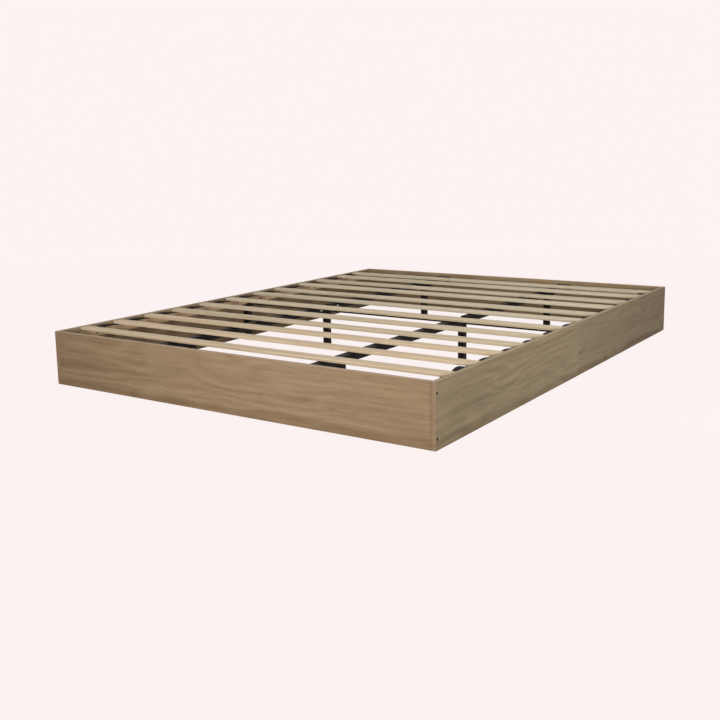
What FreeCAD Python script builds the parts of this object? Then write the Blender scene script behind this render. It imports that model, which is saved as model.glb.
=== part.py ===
"""Low platform bed base: a box of veneered boards round a slatted deck on a steel centre frame.

Millimetres. X runs across the bed, Y from the foot end (near) to the head end (far), Z up.
The origin lies on the floor under the middle of the bed.
"""
import FreeCAD, Part
import math
import os
from dataclasses import dataclass

from FreeCAD import Rotation, Vector

# ---- overall size -------------------------------------------------------------------
BED_WIDTH = 1524.0
BED_LENGTH = 2032.0
BOARD_HEIGHT = 190.0
BOARD_THICKNESS = 15.0
BOARD_EASE = 0.6

# ---- slatted deck -------------------------------------------------------------------
DECK_DROP = 1.5
SLAT_WIDTH = 42.0
SLAT_THICKNESS = 10.5
SLAT_ROUNDING = 1.5
SLAT_END_GAP = 1.0
FIRST_SLAT_INSET = 108.7
LAST_SLAT_INSET = 144.9
# how far each slat has crept from its even place, foot end first
SLAT_CREEP = (0.0, -3.0, -6.0, -14.0, -14.0, -7.0, 14.0, 4.0, 30.0, 12.0, 29.0, 0.0)

# ---- webbing straps under the slat ends ---------------------------------------------
STRAP_WIDTH = 22.0
STRAP_THICKNESS = 1.5
STRAP_RAIL_GAP = 1.0
STRAP_TAIL = 2.5
STRAP_HUMP = 5.0
SLACK_HUMP = 10.5

# ---- ledges along the side rails ----------------------------------------------------
LEDGE_WIDTH = 24.0
LEDGE_EASE = 1.0
LEDGE_END_INSET = 84.0
SPLICE_LENGTH = 204.0
LEDGE_JOINT_GAP = 4.0
LEDGE_SCREW_INSET = 57.0
LEDGE_SCREW_PITCH = 380.0
SPLICE_SCREW_OFFSETS = (35.0, 78.0)

# ---- steel centre frame -------------------------------------------------------------
TUBE_WIDTH = 30.0
TUBE_HEIGHT = 25.0
TUBE_WALL = 1.5
TUBE_CORNER = 2.5
BEAM_OFFSET = 311.0
BAR_HEIGHT = 20.0
FRAME_DROP = 3.0
BUTT_GAP = 0.3
STUB_LENGTH = 70.0
STUB_CLEARANCE = 0.25
STUB_BOLT_OFFSET = 58.0

# ---- beam hangers on the end panels -------------------------------------------------
HANGER_WIDTH = 70.0
HANGER_HEIGHT = 28.0
HANGER_DROP = 3.0
HANGER_SHEET = 2.5
HANGER_REACH = 32.0
EAR_HEIGHT = 15.0
HANGER_CORNER = 4.0
HANGER_SCREW_SPREAD = 58.0
HANGER_SCREW_DROP = 9.0
HANGER_CLEARANCE = 0.3

# ---- legs and posts -----------------------------------------------------------------
LEG_SIZE = 25.0
LEG_WALL = 1.5
LEG_CORNER = 2.0
LEG_END_INSET = 212.0
HEAD_PLATE = 3.0
HEAD_PLATE_CORNER = 4.0
END_PLATE_LENGTH = 72.0
MID_PLATE_LENGTH = 110.0
PLATE_BOLT_INSET = 14.0
POST_PLATE_DEPTH = 52.0
POST_PLATE_LENGTH = 58.0
POST_SCREW_SPREAD = 42.0
POST_BOLT_INSET = 12.0
FOOT_PAD = 4.0
FOOT_PLUG = 16.0
FOOT_SKIN = 2.0
FOOT_CLEARANCE = 0.25

# ---- fastenings ---------------------------------------------------------------------
HOLE_CLEARANCE = 0.1
CORNER_SCREW_INSET = 32.5
DOWEL_RADIUS = 4.0
DOWEL_LENGTH = 30.0
CORNER_DOWEL_IN_RAIL = 10.0
SEAM_DOWEL_INSET = 45.0
DOWEL_END_ROOM = 1.0

# ---- heights and places worked out from the sizes above -----------------------------
HALF_WIDTH = BED_WIDTH / 2
HALF_LENGTH = BED_LENGTH / 2
RAIL_FACE = HALF_WIDTH - BOARD_THICKNESS
PANEL_FACE = HALF_LENGTH - BOARD_THICKNESS
DECK_TOP = BOARD_HEIGHT - DECK_DROP
DECK_UNDERSIDE = DECK_TOP - SLAT_THICKNESS
LEDGE_TOP = DECK_UNDERSIDE - STRAP_THICKNESS
FRAME_BOTTOM = DECK_UNDERSIDE - FRAME_DROP - TUBE_HEIGHT
LEDGE_FACE = RAIL_FACE - LEDGE_WIDTH
LEDGE_MIDDLE = (LEDGE_TOP + FRAME_BOTTOM) / 2
LEG_TOP = FRAME_BOTTOM - HEAD_PLATE
LEG_STATION = HALF_LENGTH - LEG_END_INSET
BEAM_END = PANEL_FACE - HANGER_SHEET - BUTT_GAP
BEAM_START = TUBE_WIDTH / 2 + BUTT_GAP
HANGER_TOP = DECK_UNDERSIDE - HANGER_DROP
HANGER_SCREW_LEVEL = HANGER_TOP - HANGER_SCREW_DROP
FRAME_MIDDLE = FRAME_BOTTOM + TUBE_HEIGHT / 2
POST_CENTRE = RAIL_FACE - LEG_SIZE / 2
CORNER_SCREW_LEVELS = (CORNER_SCREW_INSET, BOARD_HEIGHT - CORNER_SCREW_INSET)
SEAM_DOWEL_LEVELS = (SEAM_DOWEL_INSET, FRAME_BOTTOM - SEAM_DOWEL_INSET)
END_MIDDLE = HALF_LENGTH - BOARD_THICKNESS / 2
SEAM_MIDDLE = HALF_WIDTH - BOARD_THICKNESS / 2

ORIGIN = Vector(0, 0, 0)
UP = Vector(0, 0, 1)
ACROSS = Vector(1, 0, 0)
ALONG = Vector(0, 1, 0)
SIDES = {"left": -1, "right": 1}
ENDS = {"near": -1, "far": 1}


@dataclass(frozen=True)
class Screw:
    """A wood screw along Z: its outer face or seat is at z = 0 and its tip points down."""

    head_radius: float
    head_height: float
    shank_radius: float
    length: float
    sunk: bool

    def solid(self, gap=0.0):
        """The screw, or with a gap the hole that it fits."""
        shank = self.shank_radius + gap
        head = self.head_radius + gap
        tip = self.length + gap
        shoulder = self.length - 2 * self.shank_radius
        point = [(shank, -shoulder), (0, -tip)]
        if self.sunk:
            rim = self.head_height / 4
            outline = [(0, 0), (head, 0), (head, -rim), (shank, -self.head_height - gap)]
        elif gap:
            outline = [(0, 0), (shank, 0)]
        else:
            crown = self.head_radius * 0.6
            outline = [(0, self.head_height), (crown, self.head_height)]
            outline += [(head, self.head_height / 2), (head, 0), (shank, 0)]
        return revolved(outline + point)


@dataclass(frozen=True)
class Bolt:
    """A hexagon bolt along Z: its head sits on z = 0 and its shank points down."""

    across_flats: float
    head_height: float
    shank_radius: float
    length: float

    def solid(self):
        """The bolt."""
        shank = Part.makeCylinder(self.shank_radius, self.length, Vector(0, 0, -self.length))
        return hexagon(self.across_flats, self.head_height).fuse(shank).removeSplitter()

    def hole(self, depth):
        """A clearance hole of the bolt's shank, from just above its seat down to a depth."""
        radius = self.shank_radius + HOLE_CLEARANCE
        return Part.makeCylinder(radius, depth + 1, Vector(0, 0, -depth))

    def nut(self):
        """The nut that the bolt turns into, with its seat on z = 0."""
        body = hexagon(self.across_flats, self.head_height)
        bore = self.shank_radius + HOLE_CLEARANCE
        return body.cut(Part.makeCylinder(bore, 3 * self.head_height, Vector(0, 0, -self.head_height)))


CORNER_SCREW = Screw(head_radius=5.0, head_height=4.0, shank_radius=2.6, length=50.0, sunk=True)
LEDGE_SCREW = Screw(head_radius=4.0, head_height=3.0, shank_radius=2.0, length=34.0, sunk=True)
HANGER_SCREW = Screw(head_radius=4.5, head_height=2.4, shank_radius=2.0, length=14.0, sunk=False)
POST_SCREW = Screw(head_radius=4.0, head_height=2.4, shank_radius=2.0, length=20.0, sunk=False)
LEG_BOLT = Bolt(across_flats=10.0, head_height=4.0, shank_radius=3.0, length=10.0)
STUB_BOLT = Bolt(across_flats=10.0, head_height=3.0, shank_radius=3.0, length=9.0)


# ---- shape helpers ------------------------------------------------------------------
def block(x, y, z):
    """A box between the lower and upper bound of each axis, given in either order."""
    low = Vector(min(x), min(y), min(z))
    return Part.makeBox(abs(x[1] - x[0]), abs(y[1] - y[0]), abs(z[1] - z[0]), low)


def edges_along(shape, direction):
    """The straight edges of a shape that run along a direction."""
    found = []
    for edge in shape.Edges:
        run = edge.Vertexes[-1].Point - edge.Vertexes[0].Point
        if run.cross(direction).Length < 1e-6 < run.Length:
            found.append(edge)
    return found


def revolved(outline):
    """The solid that (radius, height) points make when they turn about Z."""
    corners = [Vector(radius, 0, height) for radius, height in outline]
    face = Part.Face(Part.makePolygon(corners + corners[:1]))
    return face.revolve(ORIGIN, UP, 360)


def hexagon(across_flats, height):
    """A hexagonal prism that stands on z = 0."""
    reach = across_flats / math.sqrt(3)
    turns = [math.radians(60 * n) for n in range(6)]
    corners = [Vector(reach * math.cos(t), reach * math.sin(t), 0) for t in turns]
    return Part.Face(Part.makePolygon(corners + corners[:1])).extrude(UP * height)


def aimed(shape, place, outward):
    """A fastener that was made along Z, set at a place with its head facing outward."""
    return shape.transformed(FreeCAD.Placement(place, Rotation(UP, outward)).toMatrix())


def mirrored(shape, side, end):
    """A shape that was made for the right side and far end, moved to another side and end."""
    if side < 0:
        shape = shape.mirror(ORIGIN, ACROSS)
    if end < 0:
        shape = shape.mirror(ORIGIN, ALONG)
    return shape


def everywhere(shapes):
    """Copies of the right far shapes at all four corners of the bed."""
    return [mirrored(s, side, end) for s in shapes for side in (-1, 1) for end in (-1, 1)]


def tube(length, width, height, wall, corner):
    """A box tube along Y from y = 0, centred on x = 0 and standing on z = 0."""
    outer = block((-width / 2, width / 2), (0, length), (0, height))
    outer = outer.makeFillet(corner, edges_along(outer, ALONG))
    inner = block((wall - width / 2, width / 2 - wall), (-1, length + 1), (wall, height - wall))
    inner = inner.makeFillet(max(corner - wall, wall / 2), edges_along(inner, ALONG))
    return outer.cut(inner)


def plate_on_z(x, y, z, corner):
    """A flat plate whose four upright corners are rounded."""
    flat = block(x, y, z)
    return flat.makeFillet(corner, edges_along(flat, UP))


def cut_all(shape, tools):
    """A shape with every tool taken away from it."""
    return shape.cut(Part.makeCompound(tools)) if tools else shape


def write(name, shape):
    """Writes one sub-part, as a solid or as a group of separate solids."""
    solids = shape.Solids
    whole = solids[0] if len(solids) == 1 else Part.makeCompound(solids)
    whole.exportStep(f"parts/{name}.step")


# ---- fastenings at the right side and far end ---------------------------------------
def corner_screws(gap=0.0):
    """The screws through the side rail into the end panel."""
    solid = CORNER_SCREW.solid(gap)
    return [aimed(solid, Vector(HALF_WIDTH, END_MIDDLE, level), ACROSS) for level in CORNER_SCREW_LEVELS]


def ledge_screws(gap=0.0):
    """The screws through the ledge into the side rail, with their heads sunk in the ledge's face."""
    inner = SPLICE_LENGTH / 2 + LEDGE_SCREW_INSET
    outer = PANEL_FACE - LEDGE_END_INSET - LEDGE_SCREW_INSET
    places = [inner, outer - LEDGE_SCREW_PITCH, outer, *SPLICE_SCREW_OFFSETS]
    solid = LEDGE_SCREW.solid(gap)
    return [aimed(solid, Vector(LEDGE_FACE, y, LEDGE_MIDDLE), -ACROSS) for y in places]


def hanger_screws(gap=0.0):
    """The two screws of a beam hanger, into the end panel."""
    solid = HANGER_SCREW.solid(gap)
    face = PANEL_FACE - HANGER_SHEET
    places = [BEAM_OFFSET - HANGER_SCREW_SPREAD / 2, BEAM_OFFSET + HANGER_SCREW_SPREAD / 2]
    return [aimed(solid, Vector(x, face, HANGER_SCREW_LEVEL), -ALONG) for x in places]


def post_screw(gap=0.0):
    """The screw up through the side post's head plate into the splice block."""
    place = Vector(RAIL_FACE - LEDGE_WIDTH / 2, POST_SCREW_SPREAD / 2, LEG_TOP)
    return aimed(POST_SCREW.solid(gap), place, -UP)


def corner_dowel(gap=0.0):
    """The dowel between the side rail and the end panel."""
    radius = DOWEL_RADIUS + gap
    start = RAIL_FACE + CORNER_DOWEL_IN_RAIL
    room = DOWEL_END_ROOM if gap else 0.0
    place = Vector(start + room, END_MIDDLE, BOARD_HEIGHT / 2)
    return Part.makeCylinder(radius, DOWEL_LENGTH + 2 * room, place, -ACROSS)


def seam_dowels(gap=0.0):
    """The dowels that cross the seam between the two halves of a side rail."""
    radius = DOWEL_RADIUS + gap
    length = DOWEL_LENGTH + (2 * DOWEL_END_ROOM if gap else 0.0)
    places = [Vector(SEAM_MIDDLE, -length / 2, level) for level in SEAM_DOWEL_LEVELS]
    return [Part.makeCylinder(radius, length, place, ALONG) for place in places]


def leg_bolt_places():
    """Where the leg bolts enter the head plates from below, at the right far legs."""
    end_reach = END_PLATE_LENGTH / 2 - PLATE_BOLT_INSET
    mid_reach = MID_PLATE_LENGTH / 2 - PLATE_BOLT_INSET
    stations = [LEG_STATION - end_reach, LEG_STATION + end_reach, mid_reach]
    return [Vector(BEAM_OFFSET, y, LEG_TOP) for y in stations]


def post_bolt_place():
    """Where the side post's bolt enters the cross bar from below."""
    return Vector(RAIL_FACE - POST_PLATE_DEPTH + POST_BOLT_INSET, 0, LEG_TOP)


def frame_bolt_holes():
    """The holes for the bolts that come up through the head plates."""
    hole = LEG_BOLT.hole(HEAD_PLATE + 2 * TUBE_WALL)
    return [aimed(hole, place, -UP) for place in [*leg_bolt_places(), post_bolt_place()]]


def stub_bolt_place():
    """Where the stub bolt enters the beam's inner side."""
    return Vector(BEAM_OFFSET - TUBE_WIDTH / 2, STUB_BOLT_OFFSET, FRAME_MIDDLE)


# ---- boards -------------------------------------------------------------------------
def side_rail():
    """The right far half of a side rail."""
    board = block((RAIL_FACE, HALF_WIDTH), (0, HALF_LENGTH), (0, BOARD_HEIGHT))
    board = board.makeChamfer(BOARD_EASE, board.Edges)
    holes = corner_screws(HOLE_CLEARANCE) + [corner_dowel(HOLE_CLEARANCE)]
    holes += ledge_screws(HOLE_CLEARANCE) + seam_dowels(HOLE_CLEARANCE)
    return cut_all(board, holes)


def end_panel():
    """The head panel, which stands between the side rails."""
    board = block((-RAIL_FACE, RAIL_FACE), (PANEL_FACE, HALF_LENGTH), (0, BOARD_HEIGHT))
    board = board.makeChamfer(BOARD_EASE, board.Edges)
    holes = corner_screws(HOLE_CLEARANCE) + [corner_dowel(HOLE_CLEARANCE)]
    holes += hanger_screws(HOLE_CLEARANCE)
    return cut_all(board, holes + [mirrored(hole, -1, 1) for hole in holes])


def ledge():
    """The right far ledge, which carries the slat ends."""
    start = SPLICE_LENGTH / 2 + LEDGE_JOINT_GAP
    end = PANEL_FACE - LEDGE_END_INSET
    cleat = block((LEDGE_FACE, RAIL_FACE), (start, end), (FRAME_BOTTOM, LEDGE_TOP))
    cleat = cleat.makeChamfer(LEDGE_EASE, edges_along(cleat, ALONG))
    return cut_all(cleat, ledge_screws(HOLE_CLEARANCE))


def splice_block():
    """The block that bridges the seam of the right side rail."""
    half = SPLICE_LENGTH / 2
    cleat = block((LEDGE_FACE, RAIL_FACE), (-half, half), (FRAME_BOTTOM, LEDGE_TOP))
    cleat = cleat.makeChamfer(LEDGE_EASE, edges_along(cleat, ALONG))
    holes = ledge_screws(HOLE_CLEARANCE) + [post_screw(HOLE_CLEARANCE)]
    return cut_all(cleat, holes + [mirrored(hole, 1, -1) for hole in holes])


# ---- deck ---------------------------------------------------------------------------
def slat_stations():
    """The Y of each slat's centre line, foot end first."""
    first = FIRST_SLAT_INSET - PANEL_FACE
    last = PANEL_FACE - LAST_SLAT_INSET
    pitch = (last - first) / (len(SLAT_CREEP) - 1)
    return [first + pitch * n + creep for n, creep in enumerate(SLAT_CREEP)]


def slat(station):
    """One slat, with its long edges rounded."""
    reach = RAIL_FACE - SLAT_END_GAP
    sides = (station - SLAT_WIDTH / 2, station + SLAT_WIDTH / 2)
    board = block((-reach, reach), sides, (DECK_UNDERSIDE, DECK_TOP))
    return board.makeFillet(SLAT_ROUNDING, edges_along(board, ACROSS))


def hump_edges(start, end, rise, lift):
    """Three arcs over one gap between slats: up, over and down.

    The lift is how far the line lies above the webbing's lower face.
    """
    quarter = (end - start) / 4
    radius = (quarter**2 + (rise / 2) ** 2) / rise
    lean = math.asin(quarter / radius)
    foot_radius = radius - lift
    crown_radius = radius + lift
    base = LEDGE_TOP
    foot_centres = (Vector(0, start, base + radius), Vector(0, end, base + radius))
    crown_centre = Vector(0, (start + end) / 2, base + rise - radius)

    def on_arc(centre, arc_radius, angle, hangs):
        sign = -1 if hangs else 1
        return centre + Vector(0, arc_radius * math.sin(angle), sign * arc_radius * math.cos(angle))

    rising = [on_arc(foot_centres[0], foot_radius, a, True) for a in (0, lean / 2, lean)]
    over = [on_arc(crown_centre, crown_radius, a, False) for a in (-lean, 0, lean)]
    falling = [on_arc(foot_centres[1], foot_radius, a, True) for a in (-lean, -lean / 2, 0)]
    return [Part.Arc(*points).toShape() for points in (rising, over, falling)]


def strap_line(side, lift):
    """The edges of the webbing's side outline at a lift above its lower face, foot end first."""
    stations = slat_stations()
    half = SLAT_WIDTH / 2
    level = LEDGE_TOP + lift
    edges = []
    for n, station in enumerate(stations):
        start = station - half - (STRAP_TAIL if n == 0 else 0.0)
        end = station + half + (STRAP_TAIL if n + 1 == len(stations) else 0.0)
        edges.append(Part.makeLine(Vector(0, start, level), Vector(0, end, level)))
        if n + 1 < len(stations):
            slack = n + 2 == len(stations) or (side == "right" and n == 0)
            rise = SLACK_HUMP if slack else STRAP_HUMP
            edges += hump_edges(station + half, stations[n + 1] - half, rise, lift)
    return edges


def strap(side):
    """One webbing strap: flat under each slat, and humped where it is slack between them."""
    lower = strap_line(side, 0.0)
    upper = strap_line(side, STRAP_THICKNESS)
    ends = []
    for n in (0, -1):
        ends.append(Part.makeLine(lower[n].Vertexes[n].Point, upper[n].Vertexes[n].Point))
    section = Part.Face(Part.Wire(Part.__sortEdges__(lower + upper + ends)))
    outer = RAIL_FACE - STRAP_RAIL_GAP
    start = outer - STRAP_WIDTH if side == "right" else -outer
    section.translate(Vector(start, 0, 0))
    return section.extrude(ACROSS * STRAP_WIDTH)


# ---- steel centre frame -------------------------------------------------------------
def beam():
    """The right far half of a lengthwise beam, bolted to the cross bar's stub."""
    body = tube(BEAM_END - BEAM_START, TUBE_WIDTH, TUBE_HEIGHT, TUBE_WALL, TUBE_CORNER)
    body.translate(Vector(BEAM_OFFSET, BEAM_START, FRAME_BOTTOM))
    side_hole = aimed(STUB_BOLT.hole(2 * TUBE_WALL), stub_bolt_place(), -ACROSS)
    return cut_all(body, frame_bolt_holes() + [side_hole])


def stub():
    """The right far stub, which is welded to the cross bar and goes into a beam half."""
    width = TUBE_WIDTH - 2 * (TUBE_WALL + STUB_CLEARANCE)
    height = BAR_HEIGHT - 2 * TUBE_CORNER
    body = tube(STUB_LENGTH, width, height, TUBE_WALL, TUBE_CORNER - TUBE_WALL)
    body.translate(Vector(BEAM_OFFSET, TUBE_WIDTH / 2, FRAME_BOTTOM + TUBE_CORNER))
    side_hole = aimed(STUB_BOLT.hole(TUBE_WIDTH / 2), stub_bolt_place(), -ACROSS)
    return cut_all(body, [side_hole, *nut_room()])


def nut_room():
    """The room in a stub's floor for the leg bolt and its nut."""
    hole = Part.makeCylinder(LEG_BOLT.across_flats, TUBE_HEIGHT / 2)
    return [hole.translated(place) for place in leg_bolt_places()]


def cross_bar():
    """The bar across the middle of the bed, which the four stubs are welded to."""
    reach = LEDGE_FACE - BUTT_GAP
    body = tube(2 * reach, TUBE_WIDTH, BAR_HEIGHT, TUBE_WALL, TUBE_CORNER)
    body.rotate(ORIGIN, UP, -90)
    body.translate(Vector(-reach, 0, FRAME_BOTTOM))
    holes = frame_bolt_holes()
    return cut_all(body, holes + [mirrored(hole, -1, 1) for hole in holes])


def hanger():
    """The right far beam hanger: a bent plate with a cradle that the beam's end rests in."""
    half = HANGER_WIDTH / 2
    face = PANEL_FACE - HANGER_SHEET
    levels = (HANGER_TOP - HANGER_HEIGHT, HANGER_TOP)
    plate = block((BEAM_OFFSET - half, BEAM_OFFSET + half), (face, PANEL_FACE), levels)
    plate = plate.makeFillet(HANGER_CORNER, edges_along(plate, ALONG))
    inner = TUBE_WIDTH / 2 + HANGER_CLEARANCE
    outer = inner + HANGER_SHEET
    front = PANEL_FACE - HANGER_REACH
    floor = FRAME_BOTTOM - HANGER_SHEET
    top = FRAME_BOTTOM + EAR_HEIGHT
    cradle = block((BEAM_OFFSET - outer, BEAM_OFFSET + outer), (front, face), (floor, top))
    lower_edges = [e for e in edges_along(cradle, ALONG) if e.CenterOfMass.z < FRAME_BOTTOM]
    cradle = cradle.makeFillet(HANGER_CORNER, lower_edges)
    sides = (BEAM_OFFSET - inner, BEAM_OFFSET + inner)
    ears = cradle.cut(block(sides, (front - 1, face), (FRAME_BOTTOM, top + 1)))
    return cut_all(plate.fuse(ears).removeSplitter(), hanger_screws(HOLE_CLEARANCE))


def leg(plate, bolt_places):
    """A leg: a square tube from its foot to a welded head plate with bolt holes."""
    body = tube(LEG_TOP - FOOT_PAD, LEG_SIZE, LEG_SIZE, LEG_WALL, LEG_CORNER)
    body.rotate(ORIGIN, ACROSS, 90)
    body.translate(Vector(0, LEG_SIZE / 2, FOOT_PAD))
    hole = LEG_BOLT.hole(2 * HEAD_PLATE)
    return body, cut_all(plate, [aimed(hole, place, -UP) for place in bolt_places])


def beam_leg(station, plate_length):
    """A leg under the right beam, at a Y station."""
    half = plate_length / 2
    width = (BEAM_OFFSET - TUBE_WIDTH / 2, BEAM_OFFSET + TUBE_WIDTH / 2)
    plate = plate_on_z(width, (station - half, station + half), (LEG_TOP, FRAME_BOTTOM), HEAD_PLATE_CORNER)
    places = leg_bolt_places() + [mirrored_place(place) for place in leg_bolt_places()]
    body, plate = leg(plate, places)
    body.translate(Vector(BEAM_OFFSET, station, 0))
    return body.fuse(plate).removeSplitter()


def mirrored_place(place):
    """A place at the far end, moved to the near end."""
    return Vector(place.x, -place.y, place.z)


def side_post():
    """The right side post, which stands against the rail's seam under the splice block."""
    half = POST_PLATE_LENGTH / 2
    depth = (RAIL_FACE - POST_PLATE_DEPTH, RAIL_FACE)
    plate = plate_on_z(depth, (-half, half), (LEG_TOP, FRAME_BOTTOM), HEAD_PLATE_CORNER)
    body, plate = leg(plate, [post_bolt_place()])
    body.translate(Vector(POST_CENTRE, 0, 0))
    screw_hole = post_screw(HOLE_CLEARANCE)
    plate = cut_all(plate, [screw_hole, mirrored(screw_hole, 1, -1)])
    return body.fuse(plate).removeSplitter()


def foot():
    """A moulded foot: a pad under the tube's end and a hollow plug inside it."""
    half = LEG_SIZE / 2
    pad = plate_on_z((-half, half), (-half, half), (0, FOOT_PAD), LEG_CORNER)
    plug_half = half - LEG_WALL - FOOT_CLEARANCE
    top = FOOT_PAD + FOOT_PLUG
    corner = max(LEG_CORNER - LEG_WALL, LEG_WALL / 2)
    plug = plate_on_z((-plug_half, plug_half), (-plug_half, plug_half), (FOOT_PAD, top), corner)
    hollow_half = plug_half - FOOT_SKIN
    hollow = block((-hollow_half, hollow_half), (-hollow_half, hollow_half), (FOOT_PAD, top + 1))
    return pad.fuse(plug).cut(hollow).removeSplitter()


def frame_bolts():
    """Every bolt of the steel frame: under the head plates and in the beams' inner sides."""
    from_below = [aimed(LEG_BOLT.solid(), place, -UP) for place in leg_bolt_places()]
    from_side = aimed(STUB_BOLT.solid(), stub_bolt_place(), -ACROSS)
    post = aimed(LEG_BOLT.solid(), post_bolt_place(), -UP)
    return everywhere([*from_below, from_side]) + [post, mirrored(post, -1, 1)]


def frame_nuts():
    """The nuts on the floors of the tubes, over the bolts that come up from below."""
    rise = Vector(0, 0, HEAD_PLATE + TUBE_WALL)
    over_legs = [LEG_BOLT.nut().translated(place + rise) for place in leg_bolt_places()]
    over_post = LEG_BOLT.nut().translated(post_bolt_place() + rise)
    return everywhere(over_legs) + [over_post, mirrored(over_post, -1, 1)]


# ---- the whole bed ------------------------------------------------------------------
def write_boards():
    """Writes the boards, ledges and splice blocks."""
    panel = end_panel()
    write("head_panel", panel)
    write("foot_panel", mirrored(panel, 1, -1))
    rail_half = side_rail()
    ledge_piece = ledge()
    for side, x_sign in SIDES.items():
        write(f"splice_block_{side}", mirrored(splice_block(), x_sign, 1))
        for end, y_sign in ENDS.items():
            write(f"side_rail_{side}_{end}", mirrored(rail_half, x_sign, y_sign))
            write(f"ledge_{side}_{end}", mirrored(ledge_piece, x_sign, y_sign))


def write_deck():
    """Writes the slats and the two straps."""
    for n, station in enumerate(slat_stations()):
        write(f"slat_{n + 1:02d}", slat(station))
    for side in SIDES:
        write(f"webbing_strap_{side}", strap(side))


def write_frame():
    """Writes the steel centre frame, its legs and their feet."""
    write("cross_bar", cross_bar())
    write("bar_stubs", Part.makeCompound(everywhere([stub()])))
    beam_half = beam()
    hanger_piece = hanger()
    end_leg = beam_leg(LEG_STATION, END_PLATE_LENGTH)
    mid_leg = beam_leg(0, MID_PLATE_LENGTH)
    foot_piece = foot()
    under_end = foot_piece.translated(Vector(BEAM_OFFSET, LEG_STATION, 0))
    under_mid = foot_piece.translated(Vector(BEAM_OFFSET, 0, 0))
    under_post = foot_piece.translated(Vector(POST_CENTRE, 0, 0))
    for side, x_sign in SIDES.items():
        write(f"leg_{side}_mid", mirrored(mid_leg, x_sign, 1))
        write(f"foot_{side}_mid", mirrored(under_mid, x_sign, 1))
        write(f"side_post_{side}", mirrored(side_post(), x_sign, 1))
        write(f"foot_{side}_post", mirrored(under_post, x_sign, 1))
        for end, y_sign in ENDS.items():
            write(f"beam_{side}_{end}", mirrored(beam_half, x_sign, y_sign))
            write(f"beam_hanger_{side}_{end}", mirrored(hanger_piece, x_sign, y_sign))
            write(f"leg_{side}_{end}", mirrored(end_leg, x_sign, y_sign))
            write(f"foot_{side}_{end}", mirrored(under_end, x_sign, y_sign))


def write_fastenings():
    """Writes each kind of fastening as one group of separate solids."""
    post = post_screw()
    from_post = [mirrored(post, side, end) for side in (-1, 1) for end in (-1, 1)]
    seam = seam_dowels()
    dowels = everywhere([corner_dowel()]) + seam + [mirrored(dowel, -1, 1) for dowel in seam]
    write("corner_screws", Part.makeCompound(everywhere(corner_screws())))
    write("ledge_screws", Part.makeCompound(everywhere(ledge_screws())))
    write("hanger_screws", Part.makeCompound(everywhere(hanger_screws())))
    write("post_screws", Part.makeCompound(from_post))
    write("frame_bolts", Part.makeCompound(frame_bolts()))
    write("frame_nuts", Part.makeCompound(frame_nuts()))
    write("wood_dowels", Part.makeCompound(dowels))


os.makedirs("parts", exist_ok=True)
write_boards()
write_deck()
write_frame()
write_fastenings()
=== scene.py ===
"""Looks of a low platform bed base: oak-foil boards, pine slats on webbing, a black steel frame."""

from __future__ import annotations

import logging
import math
import random
from dataclasses import dataclass, field
from enum import Enum
from typing import Any, Callable, Iterable, Mapping, Sequence, Union

import bpy
from mathutils import Matrix, Vector

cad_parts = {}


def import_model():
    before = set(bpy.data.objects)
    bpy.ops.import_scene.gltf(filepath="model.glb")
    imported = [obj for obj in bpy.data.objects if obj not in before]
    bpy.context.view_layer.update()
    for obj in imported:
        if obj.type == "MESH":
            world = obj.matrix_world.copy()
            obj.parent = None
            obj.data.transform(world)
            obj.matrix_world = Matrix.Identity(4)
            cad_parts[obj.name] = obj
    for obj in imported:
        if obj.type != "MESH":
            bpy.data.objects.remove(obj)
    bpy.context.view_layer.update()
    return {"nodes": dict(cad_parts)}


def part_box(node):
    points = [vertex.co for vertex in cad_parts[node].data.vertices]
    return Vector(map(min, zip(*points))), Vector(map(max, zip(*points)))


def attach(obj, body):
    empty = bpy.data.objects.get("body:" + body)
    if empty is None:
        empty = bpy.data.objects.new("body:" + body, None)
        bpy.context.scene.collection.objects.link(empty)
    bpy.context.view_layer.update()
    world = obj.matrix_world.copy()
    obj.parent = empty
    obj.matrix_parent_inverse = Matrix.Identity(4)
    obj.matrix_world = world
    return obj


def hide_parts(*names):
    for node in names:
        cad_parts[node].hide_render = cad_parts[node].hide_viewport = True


LOG = logging.getLogger("bed_base")
BODY = "root"
MM = 0.001
SIDES = ("left", "right")
ENDS = ("near", "far")
SLAT_COUNT = 12
# corners of a group of fasteners that are nearer than this, across the axis that they are
# driven along and along it, belong to one of them
FASTENER_WIDTH = 0.013
FASTENER_LENGTH = 0.06
# where most grey values of a noise pattern lie
NOISE_SPAN = (0.3, 0.7)
# how much of a pattern's shift goes each way
SHIFT_SHARES = (1.0, 1.7, 0.6)
# a screw's recess is this much narrower at its bottom
RECESS_TAPER = 0.5
# a wave pattern of scale 1 repeats every 314 mm
WAVE_LENGTH = math.tau / 20

Colour = tuple[float, float, float, float]
Signal = Union[bpy.types.Node, bpy.types.NodeSocket]
Rings = tuple[tuple[float, float], ...]


class Grain(Enum):
    """The axis that wood fibres run along."""

    ACROSS_BED = 0
    ALONG_BED = 1
    UPRIGHT = 2


# ---- colours and nodes ----
def linear(hex_colour: str) -> Colour:
    """Turns an sRGB hex colour into the linear colour that shaders use.

    Args:
        hex_colour: six hex digits, with or without a leading #.

    Returns:
        Linear red, green and blue, and an alpha of 1.
    """
    digits = hex_colour.lstrip("#")
    shares = [int(digits[i:i + 2], 16) / 255 for i in (0, 2, 4)]
    red, green, blue = (
        s / 12.92 if s <= 0.04045 else ((s + 0.055) / 1.055) ** 2.4 for s in shares)
    return red, green, blue, 1.0


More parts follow.
